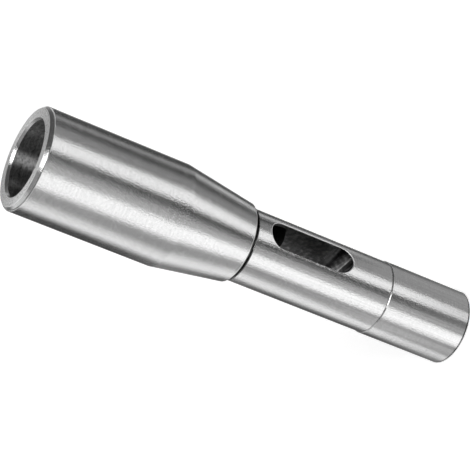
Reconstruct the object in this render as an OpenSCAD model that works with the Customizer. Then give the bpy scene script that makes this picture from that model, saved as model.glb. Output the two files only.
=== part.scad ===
// Sleeve with a Morse taper socket and a straight shank, turned and ground from one bar of steel.
// It stands on its shank: Z runs along the axis, the shank's end face is at z = 0 and the
// socket opens upwards. The drift slot runs right through the neck along Y. Sizes are in mm.

/* [Socket] */
// Gauge diameter of the taper, at the plane of the mouth
socket_d = 23.825; // [17:0.005:32]
// Length over which the taper gets one millimetre smaller across
taper_ratio = 19.922; // [19:0.001:20.1]
// Length of the reamed taper, from the mouth
taper_l = 72.2; // [60:0.1:73]
// Included angle of the point that the pilot drill leaves
drill_point_angle = 118; // [90:1:140]
// Depth of the polished chamfer in the mouth
mouth_chamfer_l = 0.85; // [0.4:0.05:2]
// Included angle of the mouth chamfer
mouth_chamfer_angle = 60; // [60:1:90]

/* [Drift slot] */
// Distance from the mouth to the near end of the slot
slot_start = 77.2; // [74:0.1:90]
// Length of the slot, over its round ends
slot_l = 29.2; // [24:0.2:36]
// Width of the slot
slot_w = 9.1; // [6:0.1:11]
// How far the pilot hole runs on past the near end of the slot
pilot_overlap = 6.2; // [3:0.1:8]
// Width of the broken edge round each mouth of the slot
slot_edge = 0.35; // [0.2:0.05:0.6]

/* [Head] */
// Wall between the taper's gauge diameter and the outside of the head
head_wall = 4.35; // [4:0.05:7]
// Length of the cone between the head and the shoulder
cone_l = 23.6; // [18:0.1:30]
// Width of the 45 degree chamfer round the outer edge of the mouth
head_chamfer = 1; // [0.4:0.1:2]

/* [Neck] */
// Wall between the pilot hole and the outside of the neck
neck_wall = 1.5; // [1.2:0.05:2]
// Length of the neck between the shoulder and the slot
neck_before_slot = 5.9; // [3.5:0.1:10]
// Length of the neck between the slot and the shank
neck_after_slot = 14.4; // [8:0.1:24]
// Height of the shoulder at the foot of the cone
shoulder_h = 1.1; // [0.8:0.1:1.8]
// Radius that rounds the shoulder's edge
shoulder_r = 0.45; // [0.2:0.05:0.75]
// Width of the floor of the grinding undercut under the shoulder
undercut_w = 0.8; // [0.6:0.1:1.5]
// Depth of the grinding undercut below the surface of the neck
undercut_depth = 0.45; // [0.2:0.05:0.8]

/* [Shank] */
// Length of the ground shank
shank_l = 29.2; // [20:0.2:60]
// Height of the step from the neck up to the shank
shank_step = 0.25; // [0.1:0.05:1]
// Width of the chamfer at the free end of the shank
shank_chamfer = 0.4; // [0.2:0.1:1.5]
// Mouth diameter of the 60 degree centre hole in the end face
centre_d = 5.3; // [3:0.1:8]
// Diameter of the pilot of the centre hole
centre_pilot_d = 2.5; // [1:0.1:2.8]
// Depth of the pilot of the centre hole, from the end face
centre_depth = 5.5; // [5:0.1:8]

/* [Hidden] */
$fn = 96;

// Radii, all built outwards from the taper
mouth_r = socket_d / 2;
pilot_r = (socket_d - taper_l / taper_ratio) / 2;
head_r = mouth_r + head_wall;
neck_r = pilot_r + neck_wall;
shoulder_edge_r = neck_r + shoulder_h;
undercut_r = neck_r - undercut_depth;
shank_r = neck_r + shank_step;

// Heights above the end face of the shank
slot_bottom = shank_l + neck_after_slot;
slot_top = slot_bottom + slot_l;
shoulder_z = slot_top + neck_before_slot;
cone_top = shoulder_z + cone_l;
overall_l = slot_top + slot_start;
taper_end = overall_l - taper_l;
pilot_end = slot_top - pilot_overlap;

// Mouth chamfer, where it meets the taper and where it meets the face
mouth_bore_z = overall_l - mouth_chamfer_l;
mouth_bore_r = mouth_r - mouth_chamfer_l / taper_ratio / 2;
mouth_edge_r = mouth_bore_r + mouth_chamfer_l * tan(mouth_chamfer_angle / 2);

// Rounded edge of the shoulder: the slope of the cone, and the centre of the round
cone_slope = atan2(head_r - shoulder_edge_r, cone_l);
cone_out = [cos(cone_slope), -sin(cone_slope)];
round_centre = [
    shoulder_edge_r - shoulder_r * (1 - sin(cone_slope)) / cos(cone_slope),
    shoulder_z + shoulder_r
];

// Included angle of the cone of the centre hole
centre_angle = 60;
// A cut runs this far past the face that it opens
past = 1;
// Steps in each round end of the slot's broken edge
edge_steps = 20;
// Share of the broken edge by which its cutter overlaps what it has cut
edge_lap = 0.4;

// Height of a cone with a given base radius and included angle
function cone_h(r, angle) = r / tan(angle / 2);

// Half of the turned outline with a sharp shoulder: radius across, height up. The undercut runs
// out to the neck at 45 degrees.
module sharp_profile() {
    polygon([
        [0, 0],
        [shank_r - shank_chamfer, 0],
        [shank_r, shank_chamfer],
        [shank_r, shank_l - shank_step],
        [neck_r, shank_l],
        [neck_r, shoulder_z - undercut_w - undercut_depth],
        [undercut_r, shoulder_z - undercut_w],
        [undercut_r, shoulder_z],
        [shoulder_edge_r, shoulder_z],
        [head_r, cone_top],
        [head_r, overall_l - head_chamfer],
        [head_r - head_chamfer, overall_l],
        [0, overall_l]
    ]);
}

// What comes off the sharp shoulder, so that an arc joins its face to the cone
module shoulder_waste() {
    on_face = [round_centre.x, shoulder_z];
    on_cone = round_centre + shoulder_r * cone_out;
    difference() {
        polygon([
            on_face,
            on_face - [0, past],
            [shoulder_edge_r + past, shoulder_z - past],
            on_cone + past * cone_out,
            on_cone
        ]);
        translate(round_centre)
            circle(r = shoulder_r);
    }
}

// Half of the socket: drill point, pilot hole, reamed taper and mouth chamfer
module socket_profile() {
    polygon([
        [0, pilot_end - cone_h(pilot_r, drill_point_angle)],
        [pilot_r, pilot_end],
        [pilot_r, taper_end],
        [mouth_bore_r, mouth_bore_z],
        [mouth_edge_r, overall_l],
        [mouth_edge_r, overall_l + past],
        [0, overall_l + past]
    ]);
}

// Half of the centre hole in the end face of the shank
module centre_profile() {
    centre_r = centre_d / 2;
    pilot = centre_pilot_d / 2;
    polygon([
        [0, -past],
        [centre_r, -past],
        [centre_r, 0],
        [pilot, cone_h(centre_r - pilot, centre_angle)],
        [pilot, centre_depth],
        [0, centre_depth + cone_h(pilot, drill_point_angle)]
    ]);
}

// Slot with round ends, right through the neck along Y
module drift_slot() {
    through = 2 * (neck_r + past);
    end_r = slot_w / 2;
    translate([-end_r, -through / 2, slot_bottom + end_r])
        cube([slot_w, through, slot_l - slot_w]);
    for (z = [slot_bottom + end_r, slot_top - end_r])
        translate([0, 0, z])
            rotate([90, 0, 0])
                cylinder(h = through, r = end_r, center = true);
}

// Distance of the neck's surface from the XZ plane, at a distance x to one side of the axis
function neck_y(x) = sqrt(neck_r * neck_r - x * x);

// Three corners of the edge cutter where it crosses the rim of the slot at a given angle round
// an end: inside the slot below and above the surface, and outside it over the surface
function edge_section(angle, end_z) =
    let (
        end_r = slot_w / 2,
        lap = slot_edge * edge_lap,
        out = [cos(angle), 0, sin(angle)],
        rim = [end_r * out.x, neck_y(end_r * out.x), end_z + end_r * out.z],
        inside = rim - lap * out,
        reach = [0, slot_edge + lap, 0]
    )
    [inside - reach, inside + reach, rim + (slot_edge + lap) * out + [0, lap, 0]];

// Cutter that breaks the edge of the slot on the +Y side: a three-cornered bar that runs
// round the rim and follows the round surface of the neck
module slot_edge_cutter() {
    end_r = slot_w / 2;
    turns = [for (i = [0 : edge_steps]) 180 * i / edge_steps];
    sections = concat(
        [for (turn = turns) edge_section(turn, slot_top - end_r)],
        [for (turn = turns) edge_section(turn + 180, slot_bottom + end_r)]
    );
    count = len(sections);
    polyhedron(
        points = [for (section = sections) each section],
        faces = [
            for (i = [0 : count - 1], side = [0 : 2])
                let (
                    here = 3 * i,
                    next = 3 * ((i + 1) % count),
                    far_side = (side + 1) % 3
                )
                    each [
                        [here + side, here + far_side, next + far_side],
                        [here + side, next + far_side, next + side]
                    ]
        ]
    );
}

// The whole sleeve, one piece of steel
module sleeve() {
    color([0.72, 0.72, 0.73])
        difference() {
            rotate_extrude()
                difference() {
                    sharp_profile();
                    shoulder_waste();
                }
            rotate_extrude()
                socket_profile();
            rotate_extrude()
                centre_profile();
            drift_slot();
            for (side = [0, 180])
                rotate([0, 0, side])
                    slot_edge_cutter();
        }
}

sleeve();
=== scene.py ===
"""Looks of the Morse taper sleeve: turned and ground steel that stands on a white studio floor."""
import math

import bpy
import numpy as np
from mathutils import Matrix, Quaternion, Vector


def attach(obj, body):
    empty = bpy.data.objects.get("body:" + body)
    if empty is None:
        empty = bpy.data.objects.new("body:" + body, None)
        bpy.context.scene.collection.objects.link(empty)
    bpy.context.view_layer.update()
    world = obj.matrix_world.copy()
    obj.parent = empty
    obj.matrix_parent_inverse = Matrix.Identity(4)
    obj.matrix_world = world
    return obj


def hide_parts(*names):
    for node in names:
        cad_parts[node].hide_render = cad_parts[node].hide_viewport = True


MM = 0.001

# Sizes of the sleeve in millimetres, measured as in the CAD source
OVERALL_L = 150.0
SOCKET_D = 23.825
TAPER_RATIO = 19.922
TAPER_L = 72.2
DRILL_POINT_ANGLE = 118.0
MOUTH_CHAMFER_L = 0.85
MOUTH_CHAMFER_ANGLE = 60.0
SLOT_START = 77.2
SLOT_L = 29.2
SLOT_W = 9.1
PILOT_OVERLAP = 6.2
SLOT_EDGE = 0.35
HEAD_WALL = 4.35
CONE_L = 23.6
HEAD_CHAMFER = 1.0
NECK_WALL = 1.5
NECK_BEFORE_SLOT = 5.9
SHOULDER_H = 1.1
SHOULDER_R = 0.45
UNDERCUT_W = 0.8
UNDERCUT_DEPTH = 0.45
SHANK_L = 29.2
SHANK_STEP = 0.25
SHANK_CHAMFER = 0.4
CENTRE_D = 5.3
CENTRE_PILOT_D = 2.5
CENTRE_DEPTH = 5.5
CENTRE_ANGLE = 60.0

MOUTH_R = SOCKET_D / 2
PILOT_R = (SOCKET_D - TAPER_L / TAPER_RATIO) / 2
HEAD_R = MOUTH_R + HEAD_WALL
NECK_R = PILOT_R + NECK_WALL
SHANK_R = NECK_R + SHANK_STEP
SLOT_TOP = OVERALL_L - SLOT_START
SLOT_BOTTOM = SLOT_TOP - SLOT_L
SHOULDER_Z = SLOT_TOP + NECK_BEFORE_SLOT
UNDERCUT_END = SHOULDER_Z - UNDERCUT_W - UNDERCUT_DEPTH

# Radii that break the corners of the turned outline, in millimetres
FINE_EDGE = 0.06
TURNED_EDGE = 0.12
CHAMFER_BLEND = 1.1
CONE_BLEND = 1.2
# Rounds up to this radius get near-white steel, a painted highlight. One that follows the near-black
# painted shade or the bore keeps that finish over this first share
HIGHLIGHT_EDGE_R = 0.5
SHADE_SHARE = 0.6
# Widths of the lines of painted shade, in near-black steel, over the chamfer at the end of the shank, over
# the step and under the undercut
END_SHADE_LINE = 0.32
STEP_SHADE_LINE = 0.18
GROOVE_SHADE_LINE = 0.2

# Steps of the mesh: round the axis, along a round of the outline, and round the slot's ends and its edge
SEGMENTS = 384
ROUND_STEP = math.radians(9)
SLOT_END_STEPS = 64
SLOT_EDGE_STEPS = 6
# Faces of the slot that meet at more than this angle have a sharp edge between them
SHARP_ANGLE = math.radians(25)
# What is nearer to the axis than this, in millimetres, has no direction round it
AXIS_R = 0.001

# The slot's tool is wider by this much outside the neck, starts its flare this far over the neck's surface
# and ends this far outside it
TOOL_FLARE = 2 * SLOT_EDGE
TOOL_RISE = SLOT_EDGE / 8
TOOL_PAST = 3.0

# Finishes, as places in the sleeve's list of materials and in that of the slot's tool
# The third finish is near-black steel, painted shade: on the shank's chamfer and a thin line above it, a
# thin line over the step, the neck just under the undercut, the undercut itself, and the pilot hole with
# its drill point
TURNED, BORE, PAINTED_SHADE, PAINTED_HIGHLIGHT, FACED = range(5)
SLOT_WALL, SLOT_FLARE = range(2)


def cone_height(radius, angle):
    """Height of a cone with this base radius and included angle in degrees."""
    return radius / math.tan(math.radians(angle / 2))


def profile_corners():
    """Corners of the turned outline as (radius, height, corner round, finish up to the next corner), from
    the centre hole round the outside to the bottom of the socket."""
    centre_r = CENTRE_D / 2
    centre_pilot_r = CENTRE_PILOT_D / 2
    centre_tip = CENTRE_DEPTH + cone_height(centre_pilot_r, DRILL_POINT_ANGLE)
    centre_cone = cone_height(centre_r - centre_pilot_r, CENTRE_ANGLE)
    undercut_r = NECK_R - UNDERCUT_DEPTH
    pilot_end = SLOT_TOP - PILOT_OVERLAP
    chamfer_r = MOUTH_R - MOUTH_CHAMFER_L / TAPER_RATIO / 2
    flare = MOUTH_CHAMFER_L * math.tan(math.radians(MOUTH_CHAMFER_ANGLE / 2))
    return [
        (0, centre_tip, 0, BORE),
        (centre_pilot_r, CENTRE_DEPTH, FINE_EDGE, BORE),
        (centre_pilot_r, centre_cone, FINE_EDGE, BORE),
        (centre_r, 0, TURNED_EDGE, TURNED),
        (SHANK_R - SHANK_CHAMFER, 0, FINE_EDGE, PAINTED_SHADE),
        (SHANK_R, SHANK_CHAMFER, FINE_EDGE, PAINTED_SHADE),
        (SHANK_R, SHANK_CHAMFER + END_SHADE_LINE, 0, TURNED),
        (SHANK_R, SHANK_L - SHANK_STEP, FINE_EDGE, TURNED),
        (NECK_R, SHANK_L, FINE_EDGE, PAINTED_SHADE),
        (NECK_R, SHANK_L + STEP_SHADE_LINE, 0, TURNED),
        (NECK_R, UNDERCUT_END - GROOVE_SHADE_LINE, 0, PAINTED_SHADE),
        (NECK_R, UNDERCUT_END, TURNED_EDGE, PAINTED_SHADE),
        (undercut_r, SHOULDER_Z - UNDERCUT_W, FINE_EDGE, PAINTED_SHADE),
        (undercut_r, SHOULDER_Z, FINE_EDGE, PAINTED_SHADE),
        (NECK_R + SHOULDER_H, SHOULDER_Z, SHOULDER_R, TURNED),
        (HEAD_R, SHOULDER_Z + CONE_L, CONE_BLEND, TURNED),
        (HEAD_R, OVERALL_L - HEAD_CHAMFER, CHAMFER_BLEND, TURNED),
        (HEAD_R - HEAD_CHAMFER, OVERALL_L, TURNED_EDGE, FACED),
        (chamfer_r + flare, OVERALL_L, FINE_EDGE, TURNED),
        (chamfer_r, OVERALL_L - MOUTH_CHAMFER_L, TURNED_EDGE, BORE),
        (PILOT_R, OVERALL_L - TAPER_L, 0, PAINTED_SHADE),
        (PILOT_R, pilot_end, TURNED_EDGE, PAINTED_SHADE),
        (0, pilot_end - cone_height(PILOT_R, DRILL_POINT_ANGLE), 0, PAINTED_SHADE),
    ]


def unit(vector):
    return vector / np.linalg.norm(vector)


def right_of(direction):
    """Direction to the right of one in the plane of the outline. The outline runs anticlockwise, so its
    outside lies there."""
    return np.array([direction[1], -direction[0]])


def corner_round(place, into, out, radius):
    """Points and normals of the arc that rounds the corner at a place between two directions of travel."""
    turn = math.atan2(into[0] * out[1] - into[1] * out[0], into @ out)
    # the arc of an inner corner bulges the other way
    bulge = math.copysign(radius, turn)
    first_normal = right_of(into)
    start = place - radius * math.tan(abs(turn) / 2) * into
    centre = start - bulge * first_normal
    steps = max(2, math.ceil(abs(turn) / ROUND_STEP))
    angles = [turn * k / steps for k in range(steps + 1)]
    normals = [math.cos(angle) * first_normal + math.sin(angle) * into for angle in angles]
    return [centre + bulge * normal for normal in normals], normals


def round_finishes(steps, radius, before):
    """Finishes along a round that follows a surface with this finish."""
    if radius > HIGHLIGHT_EDGE_R:
        return [before] * steps
    kept = math.ceil(SHADE_SHARE * steps) if before in (PAINTED_SHADE, BORE) else 0
    # the rest of the round is near-white steel, a painted highlight
    return [before] * kept + [PAINTED_HIGHLIGHT] * (steps - kept)


def rounded_profile(corners):
    """Points and outward normals of the outline with its corners rounded, and the finish after each point.
    A corner without a round gets one point with the mean normal."""
    points, normals, finishes = [], [], []
    places = [np.array(corner[:2], float) for corner in corners]
    ways = [unit(there - here) for here, there in zip(places, places[1:])]
    before = corners[0][3]
    for place, into, out, corner in zip(places, ways[:1] + ways, ways + ways[-1:], corners):
        radius, after = corner[2:]
        if radius:
            arc_points, arc_normals = corner_round(place, into, out, radius)
        else:
            arc_points, arc_normals = [place], [unit(right_of(into) + right_of(out))]
        points += arc_points
        normals += arc_normals
        finishes += round_finishes(len(arc_points) - 1, radius, before) + [after]
        before = after
    return np.array(points), np.array(normals), finishes


def mesh_from(name, vertices, faces, materials, finishes):
    """Object from vertices in millimetres, and for each face a place in the list of materials."""
    mesh = bpy.data.meshes.new(name)
    mesh.from_pydata([Vector(vertex) * MM for vertex in vertices], [], faces)
    for material in materials:
        mesh.materials.append(material)
    mesh.polygons.foreach_set("material_index", finishes)
    piece = bpy.data.objects.new(name, mesh)
    bpy.context.scene.collection.objects.link(piece)
    return piece


def revolved(name, points, finishes, materials):
    """Solid of revolution round Z. Its first and last points lie on the axis. It has no corner right over
    the middle of the slot, where the slot's tool has one, so that the cut leaves no slivers there."""
    angles = [2 * math.pi * (k + 0.5) / SEGMENTS for k in range(SEGMENTS)]
    rings = points[1:-1]
    vertices = [(r * math.cos(a), r * math.sin(a), z) for r, z in rings for a in angles]
    first, last = len(vertices), len(vertices) + 1
    vertices += [(0, 0, points[0][1]), (0, 0, points[-1][1])]
    faces, face_finishes = [], []
    top = (len(rings) - 1) * SEGMENTS
    for here in range(SEGMENTS):
        there = (here + 1) % SEGMENTS
        faces.append((first, there, here))
        for low in range(0, top, SEGMENTS):
            high = low + SEGMENTS
            faces.append((low + here, low + there, high + there, high + here))
        faces.append((top + here, top + there, last))
        face_finishes += finishes[:-1]
    return mesh_from(name, vertices, faces, materials, face_finishes)


def slot_ring(side, widen, rise, flat=None):
    """Outline of the slot, widened, on one side of the neck. It lies at a height over the neck's surface,
    or at a flat distance from the axis."""
    end_r = SLOT_W / 2
    ring = []
    for end_z, first_angle in ((SLOT_TOP - end_r, 0), (SLOT_BOTTOM + end_r, math.pi)):
        for k in range(SLOT_END_STEPS + 1):
            angle = first_angle + math.pi * k / SLOT_END_STEPS
            across, along = math.cos(angle), math.sin(angle)
            surface = math.sqrt(NECK_R**2 - (end_r * across) ** 2)
            y = surface + rise if flat is None else flat
            ring.append(((end_r + widen) * across, side * y, end_z + (end_r + widen) * along))
    return ring


def slot_cutter(name, materials):
    """Tool for the drift slot: a bar with round ends along Y, which flares where it leaves the neck."""
    turns = [math.pi / 2 * k / SLOT_EDGE_STEPS for k in range(SLOT_EDGE_STEPS + 1)]
    arc = [(SLOT_EDGE * (1 - math.cos(turn)), SLOT_EDGE * (math.sin(turn) - 1)) for turn in turns]
    # past the round the tool goes on level with the surface for a little, so that it ends outside the neck
    flare = [(TOOL_FLARE, TOOL_RISE)] + arc[::-1]
    rings = [slot_ring(-1, TOOL_FLARE, 0, NECK_R + TOOL_PAST)]
    rings += [slot_ring(-1, widen, rise) for widen, rise in flare]
    rings += [slot_ring(1, widen, rise) for widen, rise in reversed(flare)]
    rings.append(slot_ring(1, TOOL_FLARE, 0, NECK_R + TOOL_PAST))
    vertices = [vertex for ring in rings for vertex in ring]
    count = len(rings[0])
    faces = [tuple(range(count)), tuple(reversed(range(len(vertices) - count, len(vertices))))]
    finishes = [SLOT_FLARE, SLOT_FLARE]
    wall = len(rings) // 2 - 1
    for number in range(len(rings) - 1):
        low = number * count
        high = low + count
        for here in range(count):
            there = (here + 1) % count
            faces.append((low + there, low + here, high + here, high + there))
            finishes.append(SLOT_WALL if number == wall else SLOT_FLARE)
    return mesh_from(name, vertices, faces, materials, finishes)


def cut(piece, tool):
    """Takes the tool out of the piece and deletes the tool. The cut faces get the tool's materials."""
    modifier = piece.modifiers.new("slot", "BOOLEAN")
    modifier.operation = "DIFFERENCE"
    modifier.solver = "EXACT"
    modifier.material_mode = "TRANSFER"
    modifier.object = tool
    graph = bpy.context.evaluated_depsgraph_get()
    made = bpy.data.meshes.new_from_object(piece.evaluated_get(graph))
    piece.modifiers.remove(modifier)
    piece.data = made
    bpy.data.objects.remove(tool)


def read(items, name, kind, width=1):
    """One property of all items of a mesh, as an array with this many numbers for each item."""
    values = np.zeros(len(items) * width, kind)
    items.foreach_get(name, values)
    return values.reshape(-1, width) if width > 1 else values


def share_along(places, starts, spans):
    """How far along a stretch of the outline each place lies, from 0 to 1."""
    return np.clip(((places - starts) * spans).sum(-1) / (spans**2).sum(-1), 0, 1)


def nearest_stretch(places, starts, spans):
    """Number of the outline's stretch that is nearest to each place."""
    nearest = np.zeros(len(places), int)
    least = np.full(len(places), np.inf)
    for number, (start, span) in enumerate(zip(starts, spans)):
        foot = start + share_along(places, start, span)[:, None] * span
        gap = np.hypot(*(places - foot).T)
        nearest[gap < least] = number
        least = np.minimum(gap, least)
    return nearest


def outline_normals(places, face_of, face_sizes, points, normals):
    """Normals of the outline at the corners of faces, given as (radius, height). A face takes them from the
    stretch of the outline that is nearest to its middle."""
    middles = np.stack([np.bincount(face_of, places[:, i]) / face_sizes for i in (0, 1)], 1)
    starts, spans = points[:-1], np.diff(points, axis=0)
    stretch = nearest_stretch(middles, starts, spans)[face_of]
    share = share_along(places, starts[stretch], spans[stretch])[:, None]
    blend = normals[stretch] * (1 - share) + normals[stretch + 1] * share
    return blend / np.linalg.norm(blend, axis=1, keepdims=True)


def set_normals(piece, points, normals):
    """Gives the turned faces the exact normals of the outline, and leaves the slot's faces smooth between
    their sharp edges."""
    mesh = piece.data
    mesh.polygons.foreach_set("use_smooth", [True] * len(mesh.polygons))
    mesh.set_sharp_from_angle(angle=SHARP_ANGLE)
    face_sizes = read(mesh.polygons, "loop_total", int)
    face_of = np.repeat(np.arange(len(face_sizes)), face_sizes)
    finish = read(mesh.polygons, "material_index", int)[face_of]
    corners = read(mesh.vertices, "co", np.float32, 3)[read(mesh.loops, "vertex_index", int)] / MM
    flat = np.stack([np.hypot(corners[:, 0], corners[:, 1]), corners[:, 2]], 1)
    made = outline_normals(flat, face_of, face_sizes, points, normals)
    outwards = corners[:, :2] / np.maximum(flat[:, :1], AXIS_R)
    turned = np.hstack([made[:, :1] * outwards, made[:, 1:]])
    corner_normals = read(mesh.corner_normals, "vector", np.float32, 3)
    use = (finish <= FACED) & (flat[:, 0] > AXIS_R)
    corner_normals[use] = turned[use]
    mesh.normals_split_custom_set(corner_normals.tolist())


def node(tree, kind, inputs=None, **settings):
    """Adds a node, sets its properties, and links or fills its inputs by name or number."""
    made = tree.nodes.new(kind)
    for key, value in settings.items():
        setattr(made, key, value)
    for key, value in (inputs or {}).items():
        if isinstance(value, bpy.types.NodeSocket):
            tree.links.new(value, made.inputs[key])
        else:
            made.inputs[key].default_value = value
    return made


def maths(tree, operation, *values):
    return node(tree, "ShaderNodeMath", dict(enumerate(values)), operation=operation).outputs[0]


def ramp(tree, place, stops):
    """Colour ramp of grey values at (place, value)."""
    made = node(tree, "ShaderNodeValToRGB", {"Fac": place})
    elements = made.color_ramp.elements
    elements[0].position, elements[1].position = stops[0][0], stops[-1][0]
    for at, _ in stops[1:-1]:
        elements.new(at)
    for element, (_, value) in zip(elements, stops):
        element.color = (value, value, value, 1)
    return made.outputs["Color"]


def new_material(name):
    """Material, its node tree and its Principled shader."""
    material = bpy.data.materials.new(name)
    material.use_nodes = True
    tree = material.node_tree
    return material, tree, tree.nodes["Principled BSDF"]


def noise(tree, vector, detail, scale=1.0):
    inputs = {"Vector": vector, "Scale": scale, "Detail": detail}
    return node(tree, "ShaderNodeTexNoise", inputs).outputs["Fac"]


def set_relief(tree, shader, height, depth):
    """Fine bump over the whole surface, with its depth in millimetres."""
    bump = node(tree, "ShaderNodeBump", {"Height": height, "Distance": depth * MM})
    tree.links.new(bump.outputs[0], shader.inputs["Normal"])


# A step across a flat face counts as this many steps along the axis
FACE_STRETCH = 1.2
# Noise keeps near its middle: this part of its range is widened to run from 0 to 1
NOISE_LOW = 0.3
NOISE_HIGH = 0.7
# Shares of the grit and the streaks in the steel's colour, and of the lengthwise lines in colour and relief
GRIT_TINT = 0.6
STREAK_TINT = 0.4
LINE_TINT = 0.8
LINE_RELIEF = 0.35
# Width and length of the lengthwise lines in millimetres, and their detail
LINE_W = 0.5
LINE_L = 50.0
LINE_DETAIL = 2.0
# How far the roughness rises with the colour and over the patches, and what it is lowered by for that
TINT_ROUGHNESS = 0.08
PATCH_ROUGHNESS = 0.03
ROUGHNESS_DROP = 0.07
# The gloss stretches across the marks, a quarter turn from their tangent
ACROSS_MARKS = 0.25


def turned_coordinates(tree):
    """Place on the sleeve, its height, its part across the axis, and its place along the outline, which
    also counts on across a flat face."""
    place = node(tree, "ShaderNodeTexCoord").outputs["Object"]
    x, y, z = node(tree, "ShaderNodeSeparateXYZ", {0: place}).outputs
    across = node(tree, "ShaderNodeCombineXYZ", {0: x, 1: y}).outputs[0]
    radius = node(tree, "ShaderNodeVectorMath", {0: across}, operation="LENGTH").outputs["Value"]
    return place, z, across, maths(tree, "MULTIPLY_ADD", radius, FACE_STRETCH, z)


def marks(tree, across, along, width, length, seed, detail=3.0):
    """Noise in streaks of this width along the outline and this length round it, in millimetres."""
    scaled = node(tree, "ShaderNodeVectorMath", {0: across, "Scale": 1 / (length * MM)}, operation="SCALE")
    x, y, _ = node(tree, "ShaderNodeSeparateXYZ", {0: scaled.outputs[0]}).outputs
    vector = {0: maths(tree, "MULTIPLY_ADD", along, 1 / (width * MM), seed), 1: x, 2: y}
    return noise(tree, node(tree, "ShaderNodeCombineXYZ", vector).outputs[0], detail)


def lengthwise_lines(tree, place, z):
    """Fine lines along the neck and the shank. Their middle value is 0."""
    scale = (1 / (LINE_W * MM), 1 / (LINE_W * MM), 1 / (LINE_L * MM))
    scaled = node(tree, "ShaderNodeVectorMath", {0: place, 1: scale}, operation="MULTIPLY")
    lines = maths(tree, "SUBTRACT", noise(tree, scaled.outputs[0], LINE_DETAIL), 0.5)
    return maths(tree, "MULTIPLY", lines, maths(tree, "LESS_THAN", z, SHOULDER_Z * MM))


def set_colour(tree, shader, tint, dark, light):
    """Grey between two, by a tint from 0 to 1."""
    colours = {"Factor": tint, "A": (dark, dark, dark, 1), "B": (light, light, light, 1)}
    colour = node(tree, "ShaderNodeMix", colours, data_type="RGBA").outputs["Result"]
    tree.links.new(colour, shader.inputs["Base Color"])


def set_gloss(tree, shader, tint, patches, roughness, anisotropy):
    """Metal gloss that is stretched across the marks, and duller where the tint is lighter."""
    rough = maths(tree, "MULTIPLY_ADD", tint, TINT_ROUGHNESS, roughness - ROUGHNESS_DROP)
    rough = maths(tree, "MULTIPLY_ADD", patches, PATCH_ROUGHNESS, rough)
    tree.links.new(rough, shader.inputs["Roughness"])
    shader.inputs["Metallic"].default_value = 1
    shader.inputs["Anisotropic"].default_value = anisotropy
    shader.inputs["Anisotropic Rotation"].default_value = ACROSS_MARKS
    tangent = node(tree, "ShaderNodeTangent", direction_type="RADIAL", axis="Z")
    tree.links.new(tangent.outputs[0], shader.inputs["Tangent"])


def steel(name, dark, light, roughness, anisotropy, depth):
    """Steel with fine marks that run round the axis, between two greys. Depth is that of the marks, in
    millimetres."""
    material, tree, shader = new_material(name)
    place, z, across, along = turned_coordinates(tree)
    grit = marks(tree, across, along, width=0.6, length=0.8, seed=3.0)
    streaks = marks(tree, across, along, width=0.45, length=9.0, seed=40.0)
    patches = marks(tree, across, along, width=9.0, length=14.0, seed=90.0)
    grain = marks(tree, across, along, width=0.35, length=0.5, seed=7.0, detail=1.0)
    lines = lengthwise_lines(tree, place, z)
    mixed = maths(tree, "MULTIPLY_ADD", grit, GRIT_TINT, maths(tree, "MULTIPLY", streaks, STREAK_TINT))
    mixed = maths(tree, "MULTIPLY_ADD", lines, LINE_TINT, mixed)
    spread = {"Value": mixed, "From Min": NOISE_LOW, "From Max": NOISE_HIGH}
    tint = node(tree, "ShaderNodeMapRange", spread).outputs[0]
    set_colour(tree, shader, tint, dark, light)
    set_gloss(tree, shader, tint, patches, roughness, anisotropy)
    set_relief(tree, shader, maths(tree, "MULTIPLY_ADD", lines, LINE_RELIEF, grain), depth)
    return material


# Blotches of the slot's walls: how many there are in a metre, their detail, their greys at values of the
# noise, which are kept low as painted shade in the slot, what they add to the roughness, and their depth in
# millimetres
BLOTCH_SCALE = 650.0
BLOTCH_DETAIL = 6.0
SHADE_AND_BLOTCH_GREYS = [(0.0, 0.06), (0.45, 0.13), (0.6, 0.22), (0.75, 0.42)]
BLOTCH_ROUGHNESS = 0.14
BLOTCH_DEPTH = 0.004
# Heights over the slot's lower end, in millimetres, up to which its walls are smooth and from which they
# are rough, and the roughness of both
SMOOTH_UP_TO = 3.0
ROUGH_FROM = 7.0
END_ROUGHNESS = 0.04
WALL_ROUGHNESS = 0.30


def milled_steel(name):
    """Dull steel of the slot's walls, made dark as painted shade in the slot, with paler blotches at
    random. The cutter left the lower end smoother.
    """
    material, tree, shader = new_material(name)
    place = node(tree, "ShaderNodeTexCoord").outputs["Object"]
    blotches = noise(tree, place, BLOTCH_DETAIL, BLOTCH_SCALE)
    tree.links.new(ramp(tree, blotches, SHADE_AND_BLOTCH_GREYS), shader.inputs["Base Color"])
    inputs = {
        "Value": node(tree, "ShaderNodeSeparateXYZ", {0: place}).outputs[2],
        "From Min": (SLOT_BOTTOM + SMOOTH_UP_TO) * MM,
        "From Max": (SLOT_BOTTOM + ROUGH_FROM) * MM,
        "To Min": END_ROUGHNESS,
        "To Max": WALL_ROUGHNESS,
    }
    rough = node(tree, "ShaderNodeMapRange", inputs).outputs[0]
    rough = maths(tree, "MULTIPLY_ADD", blotches, BLOTCH_ROUGHNESS, rough)
    tree.links.new(rough, shader.inputs["Roughness"])
    shader.inputs["Metallic"].default_value = 1
    set_relief(tree, shader, blotches, BLOTCH_DEPTH)
    return material


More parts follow.
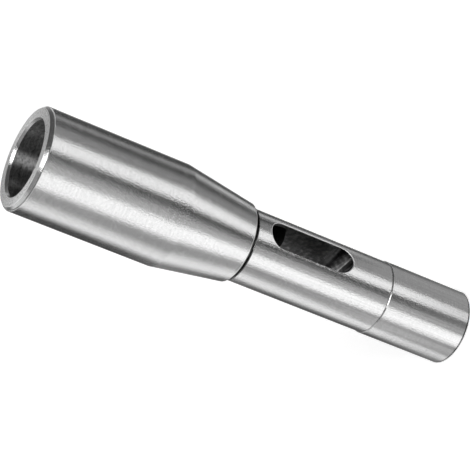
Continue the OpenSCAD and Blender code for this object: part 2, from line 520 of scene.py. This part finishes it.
def make_sleeve():
    """The whole sleeve as one closed piece."""
    finishes = [
        steel("turned_steel", dark=0.64, light=0.78, roughness=0.22, anisotropy=0.75, depth=0.045),
        # steel of the socket, darker than the outside: partly painted shade in the socket, partly its own
        # streaks
        steel("bore_steel", dark=0.12, light=0.58, roughness=0.42, anisotropy=1.0, depth=0.002),
        # near-black steel: painted shade in the hollows and in thin dark lines
        steel("painted_shade_steel", dark=0.02, light=0.06, roughness=0.50, anisotropy=0.3, depth=0.004),
        # near-white steel on the small rounds: a painted highlight
        steel("painted_highlight_edge", dark=0.92, light=1.0, roughness=0.30, anisotropy=0.3, depth=0.001),
        steel("faced_steel", dark=0.50, light=0.85, roughness=0.30, anisotropy=0.8, depth=0.010),
    ]
    slot_finishes = [
        milled_steel("slot_steel"),
        # near-white steel on the slot's broken edge: a painted highlight
        steel("slot_edge", dark=0.96, light=1.0, roughness=0.58, anisotropy=0.0, depth=0.001),
    ]
    points, normals, point_finishes = rounded_profile(profile_corners())
    sleeve = revolved("sleeve_steel", points, point_finishes, finishes)
    cut(sleeve, slot_cutter("slot_tool", slot_finishes))
    set_normals(sleeve, points, normals)
    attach(sleeve, "root")
    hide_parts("sleeve")


# Camera: its place, the point in the middle of its view, and how far it is rolled round its line of sight.
# Its focal length is in pixels of a picture of this width. The near end of its view is in metres
CAMERA_PLACE = Vector((-388.4, -463.7, 344.5)) * MM
CAMERA_TARGET = Vector((1.24, -1.42, 79.81)) * MM
CAMERA_ROLL = math.radians(-68.07)
PICTURE_W = 470
FOCAL_PIXELS = 2200
SENSOR_W = 36.0
NEAR_END = 0.01
CAMERA_BEARING = math.atan2(CAMERA_PLACE.y, CAMERA_PLACE.x)


def make_camera():
    camera = bpy.data.objects.new("camera", bpy.data.cameras.new("camera"))
    bpy.context.scene.collection.objects.link(camera)
    bpy.context.scene.camera = camera
    camera.data.sensor_width = SENSOR_W
    camera.data.lens = SENSOR_W * FOCAL_PIXELS / PICTURE_W
    camera.data.clip_start = NEAR_END
    camera.location = CAMERA_PLACE
    camera.rotation_mode = "QUATERNION"
    level = (CAMERA_TARGET - CAMERA_PLACE).to_track_quat("-Z", "Y")
    camera.rotation_quaternion = level @ Quaternion((0, 0, 1), CAMERA_ROLL)


# Sky: soft lights. Each has its two bearings, with 0 on the camera's side, and their softness, its two
# elevations and their softness, and its level. Angles are in degrees
SKY_LEVEL = 0.10
SKY_LIGHTS = [
    (-16, 40, 12, 54, 90, 9, 2.0),
    (-7, 27, 9, 33, 53, 6, 5.6),
    (-150, -85, 12, 16, 52, 8, 0.62),
    (-85, -30, 14, 24, 75, 10, 0.25),
    (165, 200, 10, 12, 60, 8, 0.50),
    (184, 222, 8, 26, 60, 8, 1.1),
    (100, 140, 15, -20, 14, 8, 0.15),
    (136, 152, 4, -20, 8, 4, 0.60),
    (-180, 180, 1, -90, 2, 4, 0.40),
]


def soft_step(tree, place, at, soft, rising):
    """Smooth step from 0 to 1, or back, round a place."""
    low, high = (0.0, 1.0) if rising else (1.0, 0.0)
    inputs = {"Value": place, "From Min": at - soft, "From Max": at + soft, "To Min": low, "To Max": high}
    return node(tree, "ShaderNodeMapRange", inputs, interpolation_type="SMOOTHSTEP").outputs[0]


def sky_panel(tree, bearing, elevation, start, end, soft, low, high, end_soft):
    """One light of the sky, from 0 to 1. Bearing is in radians, and the rest in degrees."""
    middle = math.radians((start + end) / 2) + CAMERA_BEARING
    turn = maths(tree, "WRAP", maths(tree, "SUBTRACT", bearing, middle), math.pi, -math.pi)
    away = maths(tree, "ABSOLUTE", maths(tree, "DEGREES", turn))
    panel = soft_step(tree, away, (end - start) / 2, soft, False)
    panel = maths(tree, "MULTIPLY", panel, soft_step(tree, elevation, low, end_soft, True))
    return maths(tree, "MULTIPLY", panel, soft_step(tree, elevation, high, end_soft, False))


def make_sky():
    world = bpy.data.worlds.new("sky")
    world.use_nodes = True
    bpy.context.scene.world = world
    tree = world.node_tree
    direction = node(tree, "ShaderNodeTexCoord").outputs["Generated"]
    x, y, z = node(tree, "ShaderNodeSeparateXYZ", {0: direction}).outputs
    bearing = maths(tree, "ARCTAN2", y, x)
    elevation = maths(tree, "DEGREES", maths(tree, "ARCSINE", z))
    light = SKY_LEVEL
    for *place, level in SKY_LIGHTS:
        light = maths(tree, "MULTIPLY_ADD", sky_panel(tree, bearing, elevation, *place), level, light)
    tree.links.new(light, tree.nodes["Background"].inputs["Color"])


# Floor: its width in metres, its white, and what it glows with towards the camera and the metal
FLOOR_W = 6.0
FLOOR_WHITE = 0.9
FLOOR_GLOW = 0.60


def make_floor():
    """Floor that is white to the camera and to the metal, with the sleeve's shadow on it."""
    bpy.ops.mesh.primitive_plane_add(size=FLOOR_W)
    floor = bpy.context.object
    floor.name = "floor"
    white, tree, paint = new_material("white_floor")
    white.cycles.emission_sampling = "NONE"
    paint.inputs["Base Color"].default_value = (FLOOR_WHITE, FLOOR_WHITE, FLOOR_WHITE, 1)
    paint.inputs["Roughness"].default_value = 1
    paint.inputs["Emission Color"].default_value = (1, 1, 1, 1)
    ray = node(tree, "ShaderNodeLightPath").outputs
    seen = maths(tree, "MAXIMUM", ray["Is Camera Ray"], ray["Is Glossy Ray"])
    seen = maths(tree, "MAXIMUM", seen, ray["Is Transmission Ray"])
    tree.links.new(maths(tree, "MULTIPLY", seen, FLOOR_GLOW), paint.inputs["Emission Strength"])
    floor.data.materials.append(white)


# Cards that lie on the floor round the foot, as flags and reflectors, each above those before it. Each has
# its two sides as the angles round the sleeve at which the camera sees them mirrored in it, the softness of
# those sides and its level. Then come its near and far end in millimetres from the foot, each followed by
# the length over which the card fades there, and how much it hides of what lies below it
FULL_LENGTH = (0, 0, 1500, 600, 1)
CARDS = [
    (-90, -61.5, 10, 0.10, 0, 0, 330, 180, 1),
    (-90, -57.5, 8, 0.07, 150, 130, 1500, 600, 1),
    (-48, -41, 5, 0.80, *FULL_LENGTH),
    (-41, -24, 3.5, 0.38, *FULL_LENGTH),
    (-47, -41, 2.5, 0.46, 0, 0, 110, 50, 1),
    (-40, -31, 3, 0.60, 0, 0, 100, 50, 1),
    (-6, 18, 3, 0.07, *FULL_LENGTH),
    (-7, 6, 6, 0.50, *FULL_LENGTH),
    (18, 33, 3.5, 1.14, *FULL_LENGTH),
    (33, 81.5, 4, 0.07, *FULL_LENGTH),
    (34, 47, 3, 0.28, *FULL_LENGTH),
    (56.5, 63.5, 2.5, 0.32, *FULL_LENGTH),
    (36, 68, 4, 0.36, 0, 0, 120, 50, 1),
    (61.5, 67, 2, 0.85, 60, 60, 260, 100, 1),
    (76, 100, 3, 0.30, 600, 1800, 4000, 1600, 1),
    (-92, -77, 3, 0.25, 420, 250, 4000, 1600, 1),
    (-80, 80, 8, 0.40, 0, 0, 55, 50, 0.4),
    (-23, -6, 4.5, 1.34, *FULL_LENGTH),
]
# Step between a card's rows of corners in degrees, and height between cards in millimetres
CARD_STEP = 1.0
CARD_GAP = 0.02


def smooth_step(value, soft):
    """From 0 at minus soft to 1 at plus soft."""
    t = min(max((value / soft + 1) / 2, 0.0), 1.0)
    return t * t * (3 - 2 * t)


def card_material(name, level):
    """Even glow at a level, clear where the card's cover is 0."""
    material, tree, unused_shader = new_material(name)
    material.cycles.emission_sampling = "NONE"
    tree.nodes.remove(unused_shader)
    shine = node(tree, "ShaderNodeEmission", {"Strength": level}).outputs[0]
    clear = node(tree, "ShaderNodeBsdfTransparent").outputs[0]
    cover = node(tree, "ShaderNodeAttribute", attribute_name="cover").outputs["Fac"]
    mixed = node(tree, "ShaderNodeMixShader", {0: cover, 1: clear, 2: shine}).outputs[0]
    tree.links.new(mixed, tree.nodes["Material Output"].inputs["Surface"])
    return material


def make_card(index, start, end, soft, level, near, near_fade, far, far_fade, share):
    """Card on the floor, out of the camera's sight, whose sides look straight in the sleeve: each follows
    the floor that the camera sees mirrored at one angle round the upright shank. It fades out towards its
    far end, and in from a near end that is off the foot."""
    vertices, cover = [], []
    fades = [(near, 0 if near_fade else 1), (near + near_fade, 1), (far - far_fade, 1), (far, 0)]
    rows = math.ceil((end - start + 2 * soft) / CARD_STEP)
    for row in range(rows + 1):
        side = start - soft + row * CARD_STEP
        shown = share * smooth_step(side - start, soft) * smooth_step(end - side, soft)
        # a mirror that is turned by an angle turns what it mirrors by twice that angle
        mirror = CAMERA_BEARING + math.radians(side)
        away = CAMERA_BEARING + 2 * math.radians(side)
        for place, fade in fades:
            x = SHANK_R * math.cos(mirror) + place * math.cos(away)
            y = SHANK_R * math.sin(mirror) + place * math.sin(away)
            vertices.append((x, y, CARD_GAP * (index + 1)))
            cover.append(shown * fade)
    width = len(fades)
    corners = [row * width + k for row in range(rows) for k in range(width - 1)]
    faces = [(k, k + 1, k + width + 1, k + width) for k in corners]
    name = f"card_{index}"
    card = mesh_from(name, vertices, faces, [card_material(name, level)], [0] * len(faces))
    card.data.attributes.new("cover", "FLOAT", "POINT").data.foreach_set("value", cover)
    card.visible_camera = False
    card.visible_diffuse = False
    card.visible_shadow = False


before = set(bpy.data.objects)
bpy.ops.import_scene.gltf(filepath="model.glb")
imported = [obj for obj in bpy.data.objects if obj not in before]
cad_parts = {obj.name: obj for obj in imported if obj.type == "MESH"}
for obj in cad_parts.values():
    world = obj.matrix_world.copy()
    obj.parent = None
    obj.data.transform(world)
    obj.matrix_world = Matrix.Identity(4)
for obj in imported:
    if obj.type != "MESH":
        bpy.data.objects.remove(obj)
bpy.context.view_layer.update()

make_sleeve()
make_camera()
make_sky()
make_floor()
for index, card in enumerate(CARDS):
    make_card(index, *card)
bpy.context.scene.view_settings.view_transform = "Standard"
